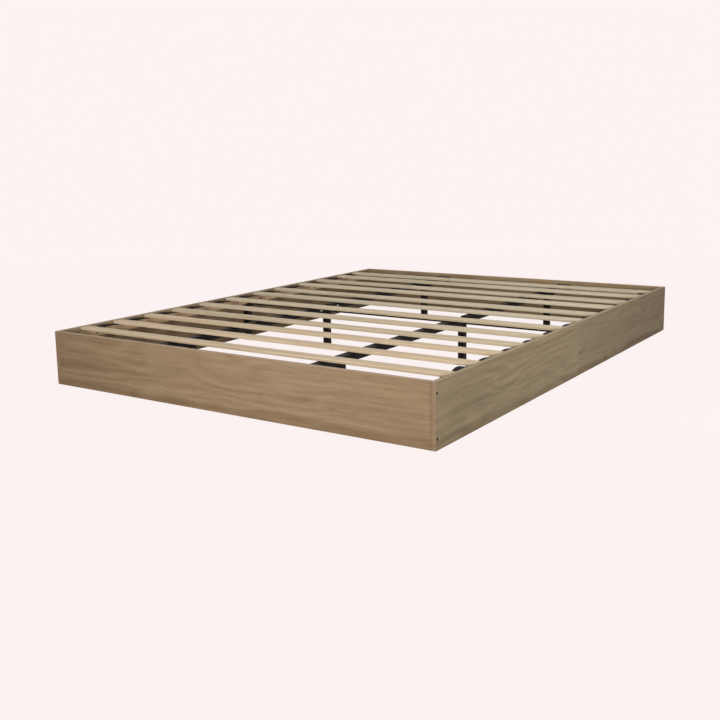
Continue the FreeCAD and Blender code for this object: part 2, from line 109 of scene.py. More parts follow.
def add_node(tree: bpy.types.NodeTree, kind: str,
             inputs: Mapping[str | int, Any] | Sequence[Any] = (),
             stops: Sequence[tuple[float, Colour]] = (), **settings: Any) -> bpy.types.Node:
    """Adds a node with its settings, its constants and what feeds it.

    Args:
        tree: the node tree to add to.
        kind: the node's type, without the ShaderNode prefix.
        inputs: constants and what feeds the node, by input name or index, or in order. A
            node stands for its first output.
        stops: a colour ramp's places and colours, in order.
        settings: properties of the node itself.

    Returns:
        The new node.
    """
    node = tree.nodes.new("ShaderNode" + kind)
    for name, value in settings.items():
        setattr(node, name, value)
    for name, value in inputs.items() if isinstance(inputs, Mapping) else enumerate(inputs):
        if isinstance(value, bpy.types.Node):
            value = value.outputs[0]
        if isinstance(value, bpy.types.NodeSocket):
            tree.links.new(value, node.inputs[name])
        else:
            node.inputs[name].default_value = value
    if stops:
        elements = node.color_ramp.elements
        while len(elements) < len(stops):
            elements.new(1.0)
        for element, (place, colour) in zip(elements, stops):
            element.position = place
            element.color = colour
    return node


def drawn_out(tree: bpy.types.NodeTree, grain: Grain, per_metre: tuple[float, float],
              shift: float = 0.0, detail: float = 2.0, roughness: float = 0.5,
              distortion: float = 0.0) -> bpy.types.Node:
    """A noise pattern of real size that is drawn out along the grain.

    Args:
        tree: the node tree.
        grain: the axis that the grain runs along.
        per_metre: repeats in a metre along the grain and across it.
        shift: how far the pattern is moved, so that no two boards are alike.
        detail: how many finer layers the pattern has.
        roughness: how strong the finer layers are.
        distortion: how much the pattern swirls.

    Returns:
        The node that gives the pattern's grey value.
    """
    along, across = per_metre
    scale = [across] * 3
    scale[grain.value] = along
    place = add_node(tree, "TexCoord").outputs["Object"]
    location = [shift * share for share in SHIFT_SHARES]
    mapped = add_node(tree, "Mapping", {"Vector": place, "Location": location, "Scale": scale})
    return add_node(tree, "TexNoise", {"Vector": mapped, "Scale": 1.0, "Detail": detail,
                                       "Roughness": roughness, "Distortion": distortion})


def overlaid(tree: bpy.types.NodeTree, colour: Signal, mask: Signal, cover: float,
             shade: str) -> bpy.types.NodeSocket:
    """A colour that is covered by another where a mask says so.

    Args:
        tree: the node tree.
        colour: the colour underneath.
        mask: where the other colour lies, from 0 to 1.
        cover: how much the other colour covers where the mask is 1.
        shade: the other colour.

    Returns:
        The mixed colour.
    """
    amount = add_node(tree, "Math", (mask, cover), operation="MULTIPLY")
    mixed = add_node(tree, "Mix", {0: amount, 6: colour, 7: linear(shade)}, data_type="RGBA")
    return mixed.outputs[2]


def surfaced(tree: bpy.types.NodeTree, colour: Signal, rough: Signal | float, height: Signal,
             relief: tuple[float, float], constants: Mapping[str, float]) -> None:
    """Ends a finish with its shader, its fine relief and the material's output.

    Args:
        tree: the node tree.
        colour: the surface's colour.
        rough: its roughness.
        height: what the relief follows.
        relief: the relief's depth in metres and its strength.
        constants: the shader's other inputs.
    """
    depth, strength = relief
    normal = add_node(tree, "Bump", {"Height": height, "Distance": depth, "Strength": strength})
    shader = add_node(tree, "BsdfPrincipled", {"Base Color": colour, "Roughness": rough,
                                               "Normal": normal, **constants})
    add_node(tree, "OutputMaterial", {"Surface": shader})


# ---- finishes ----
class Finish:
    """What finishes have in common: each lays its own nodes in a new material."""

    def material(self, name: str) -> bpy.types.Material:
        """Makes a material of this finish.

        Args:
            name: the material's name.

        Returns:
            The material.
        """
        material = bpy.data.materials.new(name)
        material.use_nodes = True
        material.node_tree.nodes.clear()
        self.lay(material.node_tree)
        return material

    def lay(self, tree: bpy.types.NodeTree) -> None:
        """Lays the finish's nodes in an empty tree."""
        raise NotImplementedError


@dataclass(frozen=True)
class OakFoil(Finish):
    """Oak-look decor foil on particle board: a printed, lightly embossed satin film.

    The print gives broad bands, wandering growth rings, fibre streaks and short dark pores.
    The board's ends have a plain tape. Its upper edge gets a painted highlight, the print darkens
    towards the board's ends as painted shade, and the joint gets a painted line: painted shadow on
    the panels, painted highlight at the rails' seam.
    """

    grain: Grain = Grain.ACROSS_BED
    shift: float = 0.0
    dark: str = "#5E4830"
    middle: str = "#877158"
    light: str = "#A18B70"
    pore: str = "#533C26"
    edge: str = "#7E6650"
    # painted highlight: upward faces are painted this paler colour, as if more light fell on them
    top_highlight: str = "#B9A488"
    # a painted line at the board's joint, by default a dark painted shadow in the seam: from where
    # to where, in metres from the bed's middle
    joint: tuple[float, float] = (0.7456, 0.75)
    joint_painted_light: str = "#46341F"
    board_height: float = 0.19
    # how pale the print is, from the board's lower edge up to its upper one
    bands: tuple[tuple[float, float], ...] = (
        (0.0, 0.44), (0.08, 0.38), (0.12, 0.44), (0.17, 0.6), (0.33, 0.62), (0.42, 0.48),
        (0.5, 0.6), (0.62, 0.56), (0.74, 0.64), (0.86, 0.58), (1.0, 0.62))
    contrast: float = 1.0
    # painted shade: the print darkens towards the board's ends, where less light falls
    painted_end_shade: float = 0.15
    half_length: float = 0.75
    ring_count: float = 9.0
    ring_bend: float = 12.0
    # between which grey values the figure swells, and the rings' strength at both
    figure_span: tuple[float, float] = (0.4, 0.6)
    ring_strength: tuple[float, float] = (0.4, 1.0)
    # how far the bands wander, as a share of the height, at the lower edge and half-way up
    wander_reach: tuple[float, float] = (0.12, 0.5)
    wander_shift: float = 3.0
    figure_shift: float = 9.0
    # repeats in a metre along and across the grain: the bands wander over 530 mm, the figure
    # swells over 500 by 125 mm, and streaks are 310 by 12 mm, fibres 140 by 3.3 mm and pores
    # 38 by 2 mm
    wander_per_m: tuple[float, float] = (1.9, 0.2)
    figure_per_m: tuple[float, float] = (2.0, 8.0)
    streak_per_m: tuple[float, float] = (3.2, 85.0)
    fibre_per_m: tuple[float, float] = (7.0, 300.0)
    pore_per_m: tuple[float, float] = (26.0, 480.0)
    # the grey values of their patterns between which streaks and pores come up
    streak_span: tuple[float, float] = (0.32, 0.68)
    pore_span: tuple[float, float] = (0.6, 0.68)
    # how much each part of the print, and the painted light at the joint and on the upper edge,
    # changes the tone, or covers what is under it
    ring_weight: float = 0.08
    streak_weight: float = 0.1
    fibre_weight: float = 0.1
    pore_cover: float = 0.26
    joint_light_cover: float = 0.6
    top_highlight_cover: float = 0.6
    edge_cover: float = 0.75
    rough: tuple[float, float] = (0.5, 0.62)
    relief: tuple[float, float] = (0.00006, 0.6)
    gloss: float = 0.06

    def lay(self, tree: bpy.types.NodeTree) -> None:
        """Lays the nodes for one board.

        Args:
            tree: the material's node tree.
        """
        fibre = drawn_out(tree, self.grain, self.fibre_per_m, self.shift, 3.0, 0.6)
        pores = drawn_out(tree, self.grain, self.pore_per_m, self.shift)
        pores = add_node(tree, "MapRange", (pores, *self.pore_span, 0.0, 1.0))
        stops = [(0.0, linear(self.dark)), (0.5, linear(self.middle)), (1.0, linear(self.light))]
        colour = add_node(tree, "ValToRGB", (self.tone(tree, fibre),), stops)
        colour = overlaid(tree, colour, pores, self.pore_cover, self.pore)
        colour = self.edged(tree, colour)
        height = add_node(tree, "Math", (fibre, pores), operation="SUBTRACT")
        rough = add_node(tree, "MapRange", (fibre, *NOISE_SPAN, *self.rough))
        surfaced(tree, colour, rough, height, self.relief,
                 {"IOR": 1.5, "Specular IOR Level": self.gloss})

    def tone(self, tree: bpy.types.NodeTree, fibre: Signal) -> bpy.types.Node:
        """How pale the print is: its bands, with rings, streaks and fibres on them, and painted
        shade towards the board's ends.

        Args:
            tree: the node tree.
            fibre: the fibres' pattern.

        Returns:
            The node that gives the tone, from 0 to 1.
        """
        plain, wandering = self.height_shares(tree)
        greys = [(place, (grey, grey, grey, 1.0)) for place, grey in self.bands]
        tone = add_node(tree, "ValToRGB", (wandering,), greys)
        streaks = drawn_out(tree, self.grain, self.streak_per_m, self.shift, 4.0, 0.62, 0.3)
        streaks = add_node(tree, "MapRange", (streaks, *self.streak_span, -1.0, 1.0))
        fibre = add_node(tree, "MapRange", (fibre, *NOISE_SPAN, -1.0, 1.0))
        layers = ((self.rings(tree, plain), self.ring_weight * self.contrast),
                  (streaks, self.streak_weight * self.contrast),
                  (fibre, self.fibre_weight),
                  (self.from_middle(tree), -self.painted_end_shade))
        for layer, weight in layers:
            tone = add_node(tree, "Math", (layer, weight, tone), operation="MULTIPLY_ADD")
        return tone

    def edged(self, tree: bpy.types.NodeTree, colour: Signal) -> bpy.types.NodeSocket:
        """The print with the joint's painted line (painted shadow on the panels, painted highlight
        at the rails' seam), the painted highlight on the upper edge and the tape on the ends.

        Args:
            tree: the node tree.
            colour: the print's colour.

        Returns:
            The colour of the whole board.
        """
        coordinates = add_node(tree, "TexCoord")
        axis = "XYZ"[self.grain.value]
        # a face is an end or a top when its normal points that way
        facing = add_node(tree, "SeparateXYZ", (coordinates.outputs["Normal"],))
        along = add_node(tree, "Math", (facing.outputs[axis],), operation="ABSOLUTE")
        is_end = add_node(tree, "Math", (along, 0.9), operation="GREATER_THAN")
        top_highlight_mask = add_node(tree, "Math", (facing.outputs["Z"], 0.5), operation="GREATER_THAN")
        place = add_node(tree, "SeparateXYZ", (coordinates.outputs["Object"],)).outputs[axis]
        place = add_node(tree, "Math", (place,), operation="ABSOLUTE")
        start, end = self.joint
        past_start = add_node(tree, "Math", (place, start), operation="GREATER_THAN")
        before_end = add_node(tree, "Math", (place, end), operation="LESS_THAN")
        joint_light_mask = add_node(tree, "Math", (past_start, before_end), operation="MULTIPLY")
        # painted light at the joint: a painted shadow on the panels, a painted highlight at the
        # rails' seam
        colour = overlaid(tree, colour, joint_light_mask, self.joint_light_cover, self.joint_painted_light)
        # painted highlight on the upward faces
        colour = overlaid(tree, colour, top_highlight_mask, self.top_highlight_cover, self.top_highlight)
        return overlaid(tree, colour, is_end, self.edge_cover, self.edge)

    def height_shares(self, tree: bpy.types.NodeTree) -> tuple[bpy.types.Node, bpy.types.Node]:
        """How far up the board a point is.

        Args:
            tree: the node tree.

        Returns:
            The plain share, and the share with a wander that grows from the lower edge up.
        """
        place = add_node(tree, "TexCoord").outputs["Object"]
        level = add_node(tree, "SeparateXYZ", (place,)).outputs["Z"]
        plain = add_node(tree, "Math", (level, 1 / self.board_height), operation="MULTIPLY")
        wander = drawn_out(tree, self.grain, self.wander_per_m, self.shift + self.wander_shift)
        wander = add_node(tree, "Math", (wander, 0.5), operation="SUBTRACT")
        reach = add_node(tree, "MapRange", (plain, 0.0, 0.5, *self.wander_reach))
        wander = add_node(tree, "Math", (wander, reach), operation="MULTIPLY")
        return plain, add_node(tree, "Math", (plain, wander), operation="ADD")

    def from_middle(self, tree: bpy.types.NodeTree) -> bpy.types.Node:
        """The squared share of the way from the bed's middle to the board's end.

        Args:
            tree: the node tree.

        Returns:
            The node that gives the share.
        """
        place = add_node(tree, "TexCoord").outputs["Object"]
        along = add_node(tree, "SeparateXYZ", (place,)).outputs["XYZ"[self.grain.value]]
        share = add_node(tree, "Math", (along, 1 / self.half_length), operation="MULTIPLY")
        return add_node(tree, "Math", (share, share), operation="MULTIPLY")

    def rings(self, tree: bpy.types.NodeTree, height: Signal) -> bpy.types.Node:
        """Growth rings that run along the board and bend where the figure swells.

        Args:
            tree: the node tree.
            height: how far up the board a point is.

        Returns:
            The node that gives the rings, from -1 to 1.
        """
        figure = drawn_out(tree, self.grain, self.figure_per_m, self.shift + self.figure_shift,
                           distortion=0.35)
        bend = add_node(tree, "Math", (figure, self.ring_bend), operation="MULTIPLY")
        phase = add_node(tree, "Math", (height, self.ring_count, bend), operation="MULTIPLY_ADD")
        phase = add_node(tree, "Math", (phase, math.pi), operation="MULTIPLY")
        wave = add_node(tree, "Math", (phase,), operation="SINE")
        strength = add_node(tree, "MapRange", (figure, *self.figure_span, *self.ring_strength))
        return add_node(tree, "Math", (wave, strength), operation="MULTIPLY")


@dataclass(frozen=True)
class Softwood(Finish):
    """Planed and sanded softwood: pale, matt, with straight growth lines and a few darker ones."""

    grain: Grain = Grain.ACROSS_BED
    shift: float = 0.0
    dark: str = "#BCA684"
    light: str = "#DCCBAE"
    line: str = "#A58A64"
    line_count: float = 60.0
    line_cover: float = 0.22
    # of a growth line's wave from -1 to 1, only the crest shows
    line_span: tuple[float, float] = (0.7, 1.0)
    tone_span: tuple[float, float] = (0.4, 0.9)
    # repeats in a metre along and across the grain: rings 14 mm apart, fibres 71 by 2 mm
    ring_per_m: tuple[float, float] = (1.0, 70.0)
    fibre_per_m: tuple[float, float] = (14.0, 500.0)
    fibre_weight: float = 0.5
    ring_weight: float = 0.9
    rough: tuple[float, float] = (0.55, 0.72)
    relief: tuple[float, float] = (0.00008, 0.6)

    def lay(self, tree: bpy.types.NodeTree) -> None:
        """Lays the nodes for one piece of timber.

        Args:
            tree: the material's node tree.
        """
        rings = drawn_out(tree, self.grain, self.ring_per_m, self.shift, distortion=0.4)
        fibre = drawn_out(tree, self.grain, self.fibre_per_m, self.shift, 3.0, 0.6)
        tone = add_node(tree, "Math", (rings, self.ring_weight), operation="MULTIPLY")
        tone = add_node(tree, "Math", (fibre, self.fibre_weight, tone), operation="MULTIPLY_ADD")
        stops = tuple(zip(self.tone_span, (linear(self.dark), linear(self.light))))
        colour = add_node(tree, "ValToRGB", (tone,), stops)
        lines = add_node(tree, "Math", (rings, self.line_count), operation="MULTIPLY")
        lines = add_node(tree, "Math", (lines,), operation="SINE")
        lines = add_node(tree, "MapRange", (lines, *self.line_span, 0.0, 1.0))
        colour = overlaid(tree, colour, lines, self.line_cover, self.line)
        rough = add_node(tree, "MapRange", (fibre, *NOISE_SPAN, *self.rough))
        surfaced(tree, colour, rough, fibre, self.relief, {"IOR": 1.5})


@dataclass(frozen=True)
class PowderCoat(Finish):
    """Black powder-coated steel: a thick satin polyester film with a faint orange peel."""

    base: str = "#131110"
    dust: str = "#1D1B1A"
    # repeats in a metre: the peel's dimples are 2.4 mm apart, the clouds 110 by 50 mm
    peel_per_m: tuple[float, float] = (420.0, 420.0)
    cloud_per_m: tuple[float, float] = (9.0, 20.0)
    rough: tuple[float, float] = (0.5, 0.64)
    gloss: float = 0.12
    relief: tuple[float, float] = (0.00005, 0.5)

    def lay(self, tree: bpy.types.NodeTree) -> None:
        """Lays the nodes for the steel parts.

        Args:
            tree: the material's node tree.
        """
        peel = drawn_out(tree, Grain.ALONG_BED, self.peel_per_m)
        cloud = drawn_out(tree, Grain.ALONG_BED, self.cloud_per_m, detail=3.0)
        stops = [(0.3, linear(self.base)), (0.75, linear(self.dust))]
        colour = add_node(tree, "ValToRGB", (cloud,), stops)
        rough = add_node(tree, "MapRange", (cloud, *NOISE_SPAN, *self.rough))
        surfaced(tree, colour, rough, peel, self.relief,
                 {"IOR": 1.5, "Specular IOR Level": self.gloss})


@dataclass(frozen=True)
class WovenPolyester(Finish):
    """Black polyester webbing: a dull plain weave whose ribs catch a little light, and whose raised
    crossings are painted lighter as a painted highlight.
    """

    warp: str = "#0E0D0D"
    crossing_highlight: str = "#1A1817"
    # ribs of real webbing are about 1.3 mm apart
    rib_spacing: float = 0.0012566
    unevenness: float = 0.4
    rough: float = 0.9
    relief: tuple[float, float] = (0.0003, 0.8)

    def lay(self, tree: bpy.types.NodeTree) -> None:
        """Lays the nodes for the straps.

        Args:
            tree: the material's node tree.
        """
        inputs = {"Vector": add_node(tree, "TexCoord").outputs["Object"],
                  "Scale": WAVE_LENGTH / self.rib_spacing,
                  "Distortion": self.unevenness, "Detail": 1.0}
        across = add_node(tree, "TexWave", inputs, bands_direction="Y").outputs["Fac"]
        along = add_node(tree, "TexWave", inputs, bands_direction="X").outputs["Fac"]
        weave = add_node(tree, "Math", (across, along), operation="MULTIPLY")
        # painted highlight: the weave's raised crossings are painted lighter than its hollows
        stops = [(0.1, linear(self.warp)), (0.8, linear(self.crossing_highlight))]
        colour = add_node(tree, "ValToRGB", (weave,), stops)
        surfaced(tree, colour, self.rough, weave, self.relief,
                 {"Sheen Weight": 0.04, "Sheen Roughness": 0.4, "Specular IOR Level": 0.1})


@dataclass(frozen=True)
class MouldedPlastic(Finish):
    """Moulded polyethylene: black, matt, with a fine spark-eroded skin."""

    base: str = "#1B1B1C"
    worn: str = "#2A2A2B"
    # repeats in a metre: the skin's grit is 1.1 mm apart, worn patches are 17 mm wide
    grit_per_m: tuple[float, float] = (900.0, 900.0)
    cloud_per_m: tuple[float, float] = (60.0, 60.0)
    rough: tuple[float, float] = (0.5, 0.66)
    relief: tuple[float, float] = (0.00004, 0.5)

    def lay(self, tree: bpy.types.NodeTree) -> None:
        """Lays the nodes for the feet.

        Args:
            tree: the material's node tree.
        """
        grit = drawn_out(tree, Grain.UPRIGHT, self.grit_per_m)
        cloud = drawn_out(tree, Grain.UPRIGHT, self.cloud_per_m)
        stops = [(0.35, linear(self.base)), (0.75, linear(self.worn))]
        colour = add_node(tree, "ValToRGB", (cloud,), stops)
        rough = add_node(tree, "MapRange", (cloud, *NOISE_SPAN, *self.rough))
        surfaced(tree, colour, rough, grit, self.relief, {"IOR": 1.5})


@dataclass(frozen=True)
class PlatedSteel(Finish):
    """Plated or phosphated steel of screws and bolts: faint drawing marks and patches."""

    bright: str = "#C4C4C2"
    dull: str = "#8F8F8C"
    rough: tuple[float, float] = (0.24, 0.42)
    # repeats in a metre: patches are 4 mm wide, drawing marks 7 by 0.7 mm
    patch_per_m: tuple[float, float] = (260.0, 260.0)
    mark_per_m: tuple[float, float] = (150.0, 1500.0)
    relief: tuple[float, float] = (0.00002, 0.5)

    def lay(self, tree: bpy.types.NodeTree) -> None:
        """Lays the nodes for the fasteners.

        Args:
            tree: the material's node tree.
        """
        patch = drawn_out(tree, Grain.UPRIGHT, self.patch_per_m, detail=3.0)
        marks = drawn_out(tree, Grain.UPRIGHT, self.mark_per_m)
        stops = [(0.3, linear(self.dull)), (0.7, linear(self.bright))]
        colour = add_node(tree, "ValToRGB", (patch,), stops)
        rough = add_node(tree, "MapRange", (patch, *NOISE_SPAN, *self.rough))
        surfaced(tree, colour, rough, marks, self.relief, {"Metallic": 1.0})


# ---- modelling helpers ----
def deselect() -> None:
    """Leaves edit mode and deselects every object."""
    if bpy.context.object and bpy.context.object.mode != "OBJECT":
        bpy.ops.object.mode_set(mode="OBJECT")
    bpy.ops.object.select_all(action="DESELECT")


def select_only(objects: Iterable[bpy.types.Object]) -> None:
    """Selects some objects and makes the first one active.

    Args:
        objects: the objects.
    """
    deselect()
    chosen = list(objects)
    for chosen_object in chosen:
        chosen_object.select_set(True)
    bpy.context.view_layer.objects.active = chosen[0]


def settle(piece: bpy.types.Object) -> bpy.types.Object:
    """Moves a piece's place into its mesh, so that its object sits at the origin.

    Args:
        piece: the piece.

    Returns:
        The same piece.
    """
    select_only([piece])
    bpy.ops.object.transform_apply(location=True, rotation=True, scale=True)
    return piece


def finish_modifier(piece: bpy.types.Object, kind: str, **settings: Any) -> None:
    """Adds a modifier with its settings and applies it.

    Args:
        piece: the piece.
        kind: the modifier's type.
        settings: properties of the modifier.
    """
    select_only([piece])
    modifier = piece.modifiers.new(kind.title(), kind)
    for name, value in settings.items():
        setattr(modifier, name, value)
    bpy.ops.object.modifier_apply(modifier=modifier.name)


def discard(piece: bpy.types.Object) -> None:
    """Deletes an object and its mesh.

    Args:
        piece: the object.
    """
    mesh = piece.data
    bpy.data.objects.remove(piece)
    bpy.data.meshes.remove(mesh)


def turned(name: str, profile: Rings, facets: int) -> bpy.types.Object:
    """A closed turned shape: a disc that is extruded down and resized from ring to ring.

    Args:
        name: the piece's name.
        profile: radius and height of each ring in millimetres, from the top down.
        facets: how many sides the rings have.

    Returns:
        The new piece, whose axis is Z.
    """
    deselect()
    radius, height = profile[0]
    bpy.ops.mesh.primitive_circle_add(vertices=facets, radius=radius * MM, fill_type="NGON",
                                      location=(0, 0, height * MM))
    piece = bpy.context.object
    piece.name = name
    bpy.ops.object.transform_apply(location=True)
    bpy.ops.object.mode_set(mode="EDIT")
    bpy.ops.mesh.select_all(action="SELECT")
    for next_radius, next_height in profile[1:]:
        drop = (0, 0, (next_height - height) * MM)
        bpy.ops.mesh.extrude_region_move(TRANSFORM_OT_translate={"value": drop})
        share = next_radius / radius
        bpy.ops.transform.resize(value=(share, share, 1),
                                 center_override=(0, 0, next_height * MM))
        radius, height = next_radius, next_height
    bpy.ops.mesh.select_all(action="SELECT")
    bpy.ops.mesh.normals_make_consistent(inside=False)
    bpy.ops.object.mode_set(mode="OBJECT")
    return piece


def cross_recess(piece: bpy.types.Object, reach: float, depth: float) -> None:
    """Cuts a cross recess, which narrows as it goes down, into a screw head.

    Args:
        piece: the screw, with the top of its head at the origin.
        reach: half the cross's width in millimetres, which is twice its arms' width.
        depth: the recess's depth in millimetres.
    """
    for width, length in ((2 * reach, reach / 2), (reach / 2, 2 * reach)):
        deselect()
        bpy.ops.mesh.primitive_cube_add(size=1.0)
        cutter = bpy.context.object
        cutter.scale = (width * MM, length * MM, 2 * depth * MM)
        settle(cutter)
        bpy.ops.object.mode_set(mode="EDIT")
        bpy.ops.mesh.select_all(action="DESELECT")
        bpy.ops.object.mode_set(mode="OBJECT")
        for vertex in cutter.data.vertices:
            vertex.select = vertex.co.z < 0
        bpy.ops.object.mode_set(mode="EDIT")
        bpy.ops.transform.resize(value=(RECESS_TAPER, RECESS_TAPER, 1),
                                 center_override=(0, 0, 0))
        bpy.ops.object.mode_set(mode="OBJECT")
        finish_modifier(piece, "BOOLEAN", operation="DIFFERENCE", solver="EXACT", object=cutter)
        discard(cutter)


def driven(node: bpy.types.Object, axis: int,
           outward: Callable[[Vector], float]) -> list[tuple[Vector, Vector]]:
    """Where the fasteners of a node sit, read from the node's own mesh.

    Args:
        node: a group of fasteners that are driven along one axis.
        axis: that axis.
        outward: for a fastener's middle, the sign of the way that its head faces.

    Returns:
        The middle of each head's top, and the way that the head faces.
    """
    groups: list[list[Vector]] = []
    for vertex in node.data.vertices:
        for group in groups:
            gap = vertex.co - group[0]
            along = abs(gap[axis])
            gap[axis] = 0.0
            if gap.length < FASTENER_WIDTH and along < FASTENER_LENGTH:
                group.append(vertex.co)
                break
        else:
            groups.append([vertex.co])
    places = []
    for group in groups:
        low = Vector(min(point[i] for point in group) for i in range(3))
        high = Vector(max(point[i] for point in group) for i in range(3))
        top = (low + high) / 2
        facing = Vector((0, 0, 0))
        facing[axis] = outward(top)
        top[axis] = high[axis] if facing[axis] > 0 else low[axis]
        places.append((top, facing))
    return places


def copies_at(original: bpy.types.Object, name: str, places: Sequence[tuple[Vector, Vector]],
              spin_seed: int) -> bpy.types.Object:
    """Copies a fastener to its places and joins the copies to one piece.

    Args:
        original: the fastener with its head up along Z; it is used up.
        name: the joined piece's name.
        places: for each copy, where the top of its head is and which way that faces.
        spin_seed: seeds how far each one was turned when it was driven home.

    Returns:
        The joined piece.
    """
    spins = random.Random(spin_seed)
    copies = []
    for place, outward in places:
        copy = original.copy()
        copy.data = original.data.copy()
        bpy.context.scene.collection.objects.link(copy)
        aim = Vector((0, 0, 1)).rotation_difference(outward).to_matrix().to_4x4()
        spin = Matrix.Rotation(spins.uniform(0, math.tau), 4, "Z")
        copy.matrix_world = Matrix.Translation(place) @ aim @ spin
        copies.append(settle(copy))
    discard(original)
    select_only(copies)
    if len(copies) > 1:
        bpy.ops.object.join()
    copies[0].name = name
    copies[0].data.name = name
    return copies[0]


def dress_node(nodes: dict[str, bpy.types.Object], name: str,
               material: bpy.types.Material) -> None:
    """Gives a carried-over node its material.

    Args:
        nodes: the frame's nodes by name.
        name: the node's name.
        material: its finish.
    """
    node = nodes[name]
    if not node.material_slots:
        node.data.materials.append(material)
    for slot in node.material_slots:
        slot.material = material
    LOG.info("dressed node %s with %s", name, material.name)


def mount(piece: bpy.types.Object, material: bpy.types.Material,
          replaced: Sequence[str]) -> None:
    """Dresses a new piece, ties it to the frame and hides the nodes that it is shown instead of.

    Args:
        piece: the new piece.
        material: its finish.
        replaced: the nodes that the piece is shown instead of.
    """
    piece.data.materials.clear()
    piece.data.materials.append(material)
    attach(piece, BODY)
    if replaced:
        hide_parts(*replaced)
    LOG.info("made %s with %d faces", piece.name, len(piece.data.polygons))


# ---- sub-assemblies ----
@dataclass
class BoardBox:
    """The four rail halves and two end panels of the box."""

    nodes: dict[str, bpy.types.Object]
    # dark, middle and light tone of the print; the right rail's halves, its far half most, are
    # painted darker as painted shade
    rail_tones_with_painted_shade: dict[str, tuple[str, str, str]] = field(default_factory=lambda: {
        "left_near": ("#5F4B34", "#8A755C", "#A08C70"),
        "left_far": ("#5F4B34", "#8A755C", "#A08C70"),
        "right_near": ("#594A34", "#7E6F57", "#95876C"),
        "right_far": ("#56482F", "#7A6B54", "#8F8268")})
    # tones of the print, painted lighter than the foot panel's as painted light
    head_tones_with_painted_light: tuple[str, str, str] = ("#695237", "#917B5E", "#AC9878")
    # painted highlight on the panels' upper edges
    panel_top_highlight: str = "#CCB498"
    # the rails' halves meet at the bed's middle, where a pale line along the seam is a painted
    # highlight
    rail_seam: tuple[float, float] = (-1.0, 0.0012)
    seam_painted_highlight: str = "#A39474"
    rail_contrast: float = 1.35
    foot_shift: float = 2.3
    head_shift: float = 9.4
    rail_shift: float = 4.7

    def dress(self) -> None:
        """Gives every board its own stretch of the foil."""
        foot_foil = OakFoil(shift=self.foot_shift, top_highlight=self.panel_top_highlight)
        dress_node(self.nodes, "foot_panel", foot_foil.material("oak_foil_foot_panel"))
        head_foil = OakFoil(Grain.ACROSS_BED, self.head_shift, *self.head_tones_with_painted_light,
                            top_highlight=self.panel_top_highlight)
        dress_node(self.nodes, "head_panel", head_foil.material("oak_foil_head_panel"))
        shift = 0.0
        for half, tones in self.rail_tones_with_painted_shade.items():
            shift += self.rail_shift
            foil = OakFoil(Grain.ALONG_BED, shift, *tones, joint=self.rail_seam,
                           joint_painted_light=self.seam_painted_highlight, contrast=self.rail_contrast,
                           painted_end_shade=0.0)
            name = f"side_rail_{half}"
            dress_node(self.nodes, name, foil.material(f"oak_foil_{name}"))


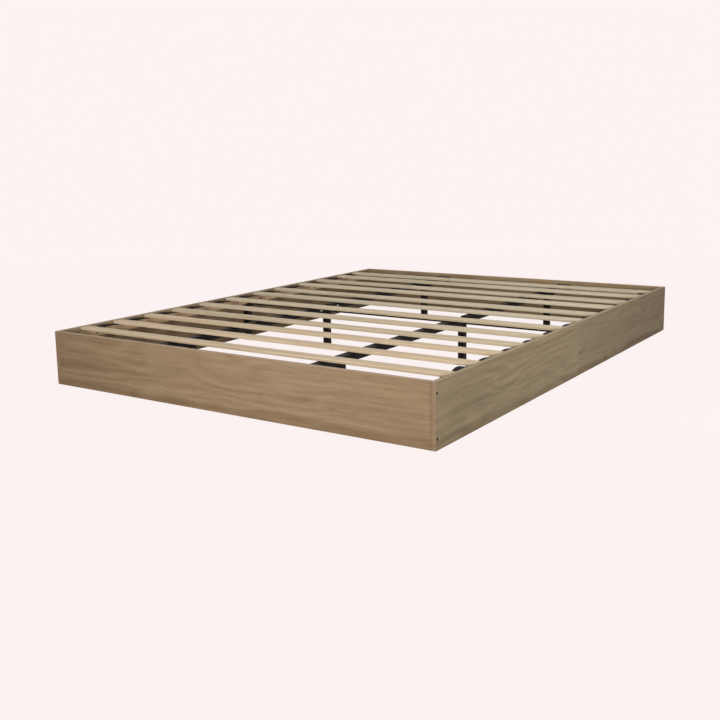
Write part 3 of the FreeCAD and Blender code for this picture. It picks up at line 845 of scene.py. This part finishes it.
@dataclass
class SlatDeck:
    """The slats, the ledges that carry them and the webbing that holds them apart."""

    nodes: dict[str, bpy.types.Object]
    webbing_thickness: float = 0.0015
    webbing_edge: float = 0.0004
    # towards the middle of the bed the webbing reaches this far past its plain stand-in
    webbing_spread: float = 0.007
    humps: dict[str, float] = field(default_factory=lambda: {"left": 0.0068, "right": 0.0044})
    slack_hump: float = 0.01
    # how far a curve point's handles reach towards the next point, and past the last one
    handle_share: float = 0.45
    end_reach: float = 0.01
    curve_steps: int = 10
    smooth_angle: float = 40.0
    # foot end first: the slats are painted a little greyer towards the head, as painted shade where
    # less light falls
    slat_tones_with_painted_shade: tuple[tuple[str, str], ...] = (
        ("#C4AB87", "#E4CFB0"), ("#B9A482", "#D9C9AC"), ("#B6A485", "#D5C8AD"),
        ("#B2A082", "#D0C2A8"))
    slat_shift: float = 1.9
    ledge_tones: tuple[str, str] = ("#AD8C69", "#D6B593")
    ledge_shift: float = 5.0

    def dress(self) -> None:
        """Dresses the timber and makes both straps."""
        for n in range(SLAT_COUNT):
            dark, light = self.slat_tones_with_painted_shade[n * len(self.slat_tones_with_painted_shade) // SLAT_COUNT]
            timber = Softwood(shift=self.slat_shift * n, dark=dark, light=light)
            dress_node(self.nodes, f"slat_{n + 1:02d}", timber.material(f"pine_slat_{n + 1:02d}"))
        ledge_timber = Softwood(Grain.ALONG_BED, self.ledge_shift, *self.ledge_tones)
        ledge_finish = ledge_timber.material("pine_ledge")
        for side in SIDES:
            dress_node(self.nodes, f"splice_block_{side}", ledge_finish)
            for end in ENDS:
                dress_node(self.nodes, f"ledge_{side}_{end}", ledge_finish)
        webbing = WovenPolyester().material("woven_polyester")
        for side in SIDES:
            mount(self.strap(side), webbing, [f"webbing_strap_{side}"])

    def strap_points(self, side: str, start: float, end: float) -> list[tuple[float, float]]:
        """The strap's course, which runs flat under each slat and humps up between two.

        Args:
            side: left or right.
            start: where the strap starts along the bed.
            end: where it ends.

        Returns:
            Places along the bed, and how far the strap rises there.
        """
        boxes = [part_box(f"slat_{n + 1:02d}") for n in range(SLAT_COUNT)]
        points = [(start, 0.0)]
        for n, ((_, slat_high), (next_low, _)) in enumerate(zip(boxes, boxes[1:])):
            is_slack = n + 2 == SLAT_COUNT or (side == "right" and n == 0)
            rise = self.slack_hump if is_slack else self.humps[side]
            points += [(slat_high.y, 0.0), ((slat_high.y + next_low.y) / 2, rise),
                       (next_low.y, 0.0)]
        return points + [(end, 0.0)]

    def strap(self, side: str) -> bpy.types.Object:
        """Makes one strap: a curve along its course, given width and thickness.

        Args:
            side: left or right.

        Returns:
            The strap.
        """
        low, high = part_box(f"webbing_strap_{side}")
        if side == "left":
            high.x += self.webbing_spread
        else:
            low.x -= self.webbing_spread
        level = low.z + self.webbing_thickness / 2
        points = self.strap_points(side, low.y, high.y)
        deselect()
        bpy.ops.curve.primitive_bezier_curve_add()
        curve = bpy.context.object
        spline = curve.data.splines[0]
        spline.bezier_points.add(len(points) - len(spline.bezier_points))
        for n, (point, (y, rise)) in enumerate(zip(spline.bezier_points, points)):
            before = y - points[n - 1][0] if n else self.end_reach
            after = points[n + 1][0] - y if n + 1 < len(points) else self.end_reach
            point.handle_left_type = point.handle_right_type = "FREE"
            point.co = (y, level + rise, 0)
            point.handle_left = (y - before * self.handle_share, level + rise, 0)
            point.handle_right = (y + after * self.handle_share, level + rise, 0)
        curve.data.dimensions = "3D"
        curve.data.resolution_u = self.curve_steps
        curve.data.extrude = (high.x - low.x) / 2 - self.webbing_edge
        # the curve is drawn flat, and turned so that its X runs along the bed and its Y up
        turn = Matrix(((0, 0, 1), (1, 0, 0), (0, 1, 0))).to_4x4()
        curve.matrix_world = Matrix.Translation(((low.x + high.x) / 2, 0, 0)) @ turn
        select_only([curve])
        bpy.ops.object.convert(target="MESH")
        piece = settle(bpy.context.object)
        piece.name = f"webbing_{side}"
        finish_modifier(piece, "SOLIDIFY", thickness=self.webbing_thickness, offset=0.0)
        finish_modifier(piece, "BEVEL", width=self.webbing_edge, segments=2,
                        limit_method="ANGLE")
        select_only([piece])
        bpy.ops.object.shade_smooth_by_angle(angle=math.radians(self.smooth_angle))
        return piece


@dataclass
class SteelFrame:
    """The black steel centre frame with its legs, posts, hangers, welds and feet."""

    nodes: dict[str, bpy.types.Object]
    head_plate: float = 0.003
    weld_radius: float = 0.0018
    weld_facets: int = 2
    weld_steps: int = 12

    def dress(self) -> None:
        """Dresses the steel and plastic nodes and lays the weld beads."""
        steel = PowderCoat().material("powder_coat_black")
        plastic = MouldedPlastic().material("moulded_black")
        steel_groups = ("beam_", "leg_", "side_post_", "cross_bar", "bar_stubs")
        for name in self.nodes:
            if name.startswith(steel_groups):
                dress_node(self.nodes, name, steel)
            elif name.startswith("foot_") and name != "foot_panel":
                dress_node(self.nodes, name, plastic)
        for side in SIDES:
            legs = {f"leg_{side}_{end}": f"foot_{side}_{end}" for end in ("near", "mid", "far")}
            for post, foot in {**legs, f"side_post_{side}": f"foot_{side}_post"}.items():
                mount(self.weld(post, foot), steel, [])

    def weld(self, post: str, foot: str) -> bpy.types.Object:
        """Lays the bead between a post's tube and its head plate.

        Args:
            post: the node of the tube and its plate.
            foot: the node of its foot, which is as wide as the tube.

        Returns:
            The bead.
        """
        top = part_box(post)[1].z - self.head_plate
        low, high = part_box(foot)
        half = (high.x - low.x) / 2
        centre = (low + high) / 2
        deselect()
        bpy.ops.curve.primitive_nurbs_circle_add(radius=half)
        bead = bpy.context.object
        spline = bead.data.splines[0]
        ring = ((0, -1), (1, -1), (1, 0), (1, 1), (0, 1), (-1, 1), (-1, 0), (-1, -1))
        for point, (x, y) in zip(spline.points, ring):
            point.co = (x * half, y * half, 0, 1)
        spline.order_u = 3
        bead.data.bevel_depth = self.weld_radius
        bead.data.bevel_resolution = self.weld_facets
        bead.data.resolution_u = self.weld_steps
        bead.location = (centre.x, centre.y, top)
        select_only([bead])
        bpy.ops.object.convert(target="MESH")
        piece = settle(bpy.context.object)
        piece.name = f"weld_{post}"
        select_only([piece])
        bpy.ops.object.shade_smooth()
        return piece


@dataclass
class Fasteners:
    """Screws with cross recesses, and hexagon bolts with washers.

    Sizes are in millimetres. Profiles are radius and height from the middle of the head's top.
    """

    nodes: dict[str, bpy.types.Object]
    facets: int = 24
    corner_profile: Rings = (
        (4.6, 0.0), (4.95, -0.25), (4.95, -1.0), (2.6, -4.0), (2.5, -44.0), (0.4, -50.0))
    ledge_profile: Rings = (
        (3.6, 0.0), (3.95, -0.2), (3.95, -0.75), (2.0, -3.0), (1.9, -29.5), (0.4, -34.0))
    pan_profile: Rings = (
        (1.6, 0.0), (3.0, -0.35), (4.0, -1.1), (4.4, -2.0), (4.4, -2.4), (2.0, -2.4),
        (1.9, -12.0), (0.4, -16.0))
    recess_depth: float = 1.6
    bolt_top: Rings = ((4.7, 0.0), (5.7, -0.7))
    bolt_radius: float = 5.7
    # the head's height and the shank's length
    leg_bolt: tuple[float, float] = (4.0, 10.0)
    stub_bolt: tuple[float, float] = (3.0, 9.0)
    shank_radius: float = 3.0
    shank_end_radius: float = 2.9
    washer_radius: float = 7.2
    washer_thickness: float = 0.9
    washer_edge: float = 0.3

    def dress(self) -> None:
        """Makes every visible screw and bolt, and dresses the hidden nuts and dowels."""
        black = PlatedSteel("#1C1B1A", "#0F0E0E", (0.45, 0.65)).material("black_phosphate")
        zinc = PlatedSteel().material("zinc_plate")
        beech = Softwood(Grain.ACROSS_BED, 8.0, "#B8976A", "#D8BE94").material("turned_beech")
        dress_node(self.nodes, "frame_nuts", zinc)
        dress_node(self.nodes, "wood_dowels", beech)
        # for each group: its outline, half its recess's width, the axis that it is driven
        # along, and the way that a head faces
        groups = {
            "corner_screws": (self.corner_profile, 2.4, 0, lambda top: math.copysign(1, top.x)),
            "ledge_screws": (self.ledge_profile, 2.0, 0, lambda top: -math.copysign(1, top.x)),
            "hanger_screws": (self.pan_profile, 2.2, 1, lambda top: -math.copysign(1, top.y)),
            "post_screws": (self.pan_profile, 2.2, 2, lambda top: -1)}
        for name, (profile, reach, axis, outward) in groups.items():
            places = driven(self.nodes[name], axis, outward)
            screw = turned(name, profile, self.facets)
            cross_recess(screw, reach, self.recess_depth)
            screws = copies_at(screw, f"driven_{name}", places, len(places))
            mount(screws, black, [name])
        bolts = self.nodes["frame_bolts"]
        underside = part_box("beam_left_near")[0].z
        upward = driven(bolts, 2, lambda top: -1)
        sideways = driven(bolts, 0, lambda top: -math.copysign(1, top.x))
        in_plates = [place for place in upward if place[0].z < underside]
        in_beams = [place for place in sideways if place[0].z > underside]
        leg_bolts = copies_at(self.bolt(*self.leg_bolt), "leg_bolts", in_plates, spin_seed=5)
        mount(leg_bolts, black, ["frame_bolts"])
        stub_bolts = copies_at(self.bolt(*self.stub_bolt), "stub_bolts", in_beams, spin_seed=6)
        mount(stub_bolts, zinc, ["frame_bolts"])

    def bolt(self, head_height: float, length: float) -> bpy.types.Object:
        """Makes a hexagon bolt with a chamfered head, a washer under it and a plain shank.

        Args:
            head_height: the head's height.
            length: the shank's length.

        Returns:
            The bolt, with the top of its head at the origin.
        """
        under = -head_height
        head = turned("hexagon_head", (*self.bolt_top, (self.bolt_radius, under)), 6)
        rim = self.washer_radius
        washer_top = under + self.washer_thickness
        outline = ((rim - self.washer_edge, washer_top), (rim, washer_top - self.washer_edge),
                   (rim, under), (self.shank_radius, under),
                   (self.shank_end_radius, under - length))
        shank = turned("washer_and_shank", outline, self.facets)
        select_only([head, shank])
        bpy.ops.object.join()
        return head


# ---- studio ----
def seen_directly(tree: bpy.types.NodeTree) -> bpy.types.Node:
    """Tells what is seen from what only lights the bed base.

    Args:
        tree: the node tree.

    Returns:
        The node that gives 1 for camera, glossy and transmission rays, and 0 for others.
    """
    path = add_node(tree, "LightPath").outputs
    mirrored = add_node(tree, "Math", (path["Is Glossy Ray"], path["Is Transmission Ray"]),
                        operation="MAXIMUM")
    return add_node(tree, "Math", (path["Is Camera Ray"], mirrored), operation="MAXIMUM")


@dataclass(frozen=True)
class StudioPaper(Finish):
    """Matt paper as a floor: it melts into the backdrop but keeps the bed base's shadow."""

    ground: str
    bounce: str = "#E0DAD6"
    # the shadow's strength near the bed, and from where to where it fades out, in metres
    shadow_share: float = 0.02
    shadow_fade: tuple[float, float] = (1.6, 4.5)

    def lay(self, tree: bpy.types.NodeTree) -> None:
        """Lays the nodes for the floor.

        Args:
            tree: the material's node tree.
        """
        place = add_node(tree, "TexCoord").outputs["Object"]
        distance = add_node(tree, "VectorMath", (place,), operation="LENGTH").outputs["Value"]
        share = add_node(tree, "MapRange", (distance, *self.shadow_fade, self.shadow_share, 0.0))
        colour = linear(self.ground)
        paper = add_node(tree, "BsdfDiffuse", {"Color": colour})
        glow = add_node(tree, "Emission", {"Color": colour, "Strength": 1.0})
        seen = add_node(tree, "MixShader", (share, glow, paper))
        bounce = add_node(tree, "BsdfDiffuse", {"Color": linear(self.bounce)})
        both = add_node(tree, "MixShader", (seen_directly(tree), bounce, seen))
        add_node(tree, "OutputMaterial", {"Surface": both})


@dataclass(frozen=True)
class Lamp:
    """A square soft lamp: its name, place, target, side in metres, watts, and if it glints."""

    name: str
    place: tuple[float, float, float]
    target: tuple[float, float, float]
    size: float
    power: float
    glints: bool = True

    def hang(self) -> None:
        """Hangs the lamp, unseen by the camera itself."""
        data = bpy.data.lights.new(self.name, "AREA")
        data.shape = "SQUARE"
        data.size = self.size
        data.energy = self.power
        lamp = bpy.data.objects.new(self.name, data)
        lamp.visible_camera = False
        lamp.visible_glossy = self.glints
        bpy.context.scene.collection.objects.link(lamp)
        aim = Vector(self.target) - Vector(self.place)
        turn = aim.to_track_quat("-Z", "Y").to_matrix().to_4x4()
        lamp.matrix_world = Matrix.Translation(self.place) @ turn


@dataclass
class Studio:
    """Floor, light and camera."""

    ground: str = "#FDF3F2"
    floor_reach: float = 60.0
    floor_drop: float = 0.0003
    sensor: float = 36.0
    lens: float = 48.455
    shift: tuple[float, float] = (0.0333, -0.0556)
    eye: tuple[float, float, float] = (1.9725, -3.1952, 0.7905)
    azimuth: float = -35.009
    elevation: float = -9.824
    roll: float = -1.1535
    view_reach: float = 200.0
    sky: float = 0.1
    lamps: tuple[Lamp, ...] = (
        Lamp("foot_lamp", (0.8, -5.6, 1.8), (0.2, -0.6, 0.1), 2.0, 45.0),
        Lamp("low_lamp", (2.8, -5.1, 0.7), (0.2, -0.6, 0.1), 1.2, 245.0),
        Lamp("side_lamp", (2.1, -0.1, 1.0), (0.76, -0.1, 0.1), 0.6, 12.0),
        Lamp("top_lamp", (0.2, 0.0, 3.0), (0.0, -0.1, 0.0), 2.0, 31.0),
        Lamp("back_lamp", (-2.6, 4.6, 0.8), (-0.2, 0.6, 0.1), 1.4, 115.0, glints=False))

    def build(self) -> None:
        """Sets up everything round the bed base."""
        scene = bpy.context.scene
        scene.view_settings.view_transform = "Standard"
        self.lay_floor()
        self.fill_world()
        for lamp in self.lamps:
            lamp.hang()
        self.place_camera()

    def lay_floor(self) -> None:
        """Lays a wide paper floor just under the feet."""
        deselect()
        bpy.ops.mesh.primitive_plane_add(size=2 * self.floor_reach,
                                         location=(0, 0, -self.floor_drop))
        floor = settle(bpy.context.object)
        floor.name = "studio_floor"
        floor.data.materials.append(StudioPaper(self.ground).material("studio_paper"))

    def fill_world(self) -> None:
        """Gives an even sky for light, and the backdrop's colour for what is seen."""
        world = bpy.data.worlds.new("studio_sky")
        bpy.context.scene.world = world
        world.use_nodes = True
        tree = world.node_tree
        tree.nodes.clear()
        light = add_node(tree, "Background", {"Color": linear("#FFFFFF"), "Strength": self.sky})
        seen = add_node(tree, "Background", {"Color": linear(self.ground), "Strength": 1.0})
        both = add_node(tree, "MixShader", (seen_directly(tree), light, seen))
        add_node(tree, "OutputWorld", {"Surface": both})

    def place_camera(self) -> None:
        """Sets the camera where the photograph was taken from."""
        azimuth, elevation, roll = (
            math.radians(angle) for angle in (self.azimuth, self.elevation, self.roll))
        forward = Vector((math.sin(azimuth) * math.cos(elevation),
                          math.cos(azimuth) * math.cos(elevation), math.sin(elevation)))
        right = forward.cross(Vector((0, 0, 1))).normalized()
        up = right.cross(forward)
        rolled_right = math.cos(roll) * right + math.sin(roll) * up
        rolled_up = math.cos(roll) * up - math.sin(roll) * right
        data = bpy.data.cameras.new("camera")
        data.sensor_width = self.sensor
        data.lens = self.lens
        data.shift_x, data.shift_y = self.shift
        data.clip_end = self.view_reach
        camera = bpy.data.objects.new("camera", data)
        bpy.context.scene.collection.objects.link(camera)
        turn = Matrix((rolled_right, rolled_up, -forward)).transposed().to_4x4()
        camera.matrix_world = Matrix.Translation(self.eye) @ turn
        bpy.context.scene.camera = camera


def main() -> None:
    """Loads the frame, dresses it and sets up the studio."""
    logging.basicConfig(level=logging.INFO, format="%(name)s: %(message)s")
    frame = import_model()
    nodes = frame["nodes"]
    Studio().build()
    for assembly in (BoardBox(nodes), SlatDeck(nodes), SteelFrame(nodes), Fasteners(nodes)):
        LOG.info("building %s", type(assembly).__name__)
        assembly.dress()
    deselect()


if __name__ == "__main__":
    main()
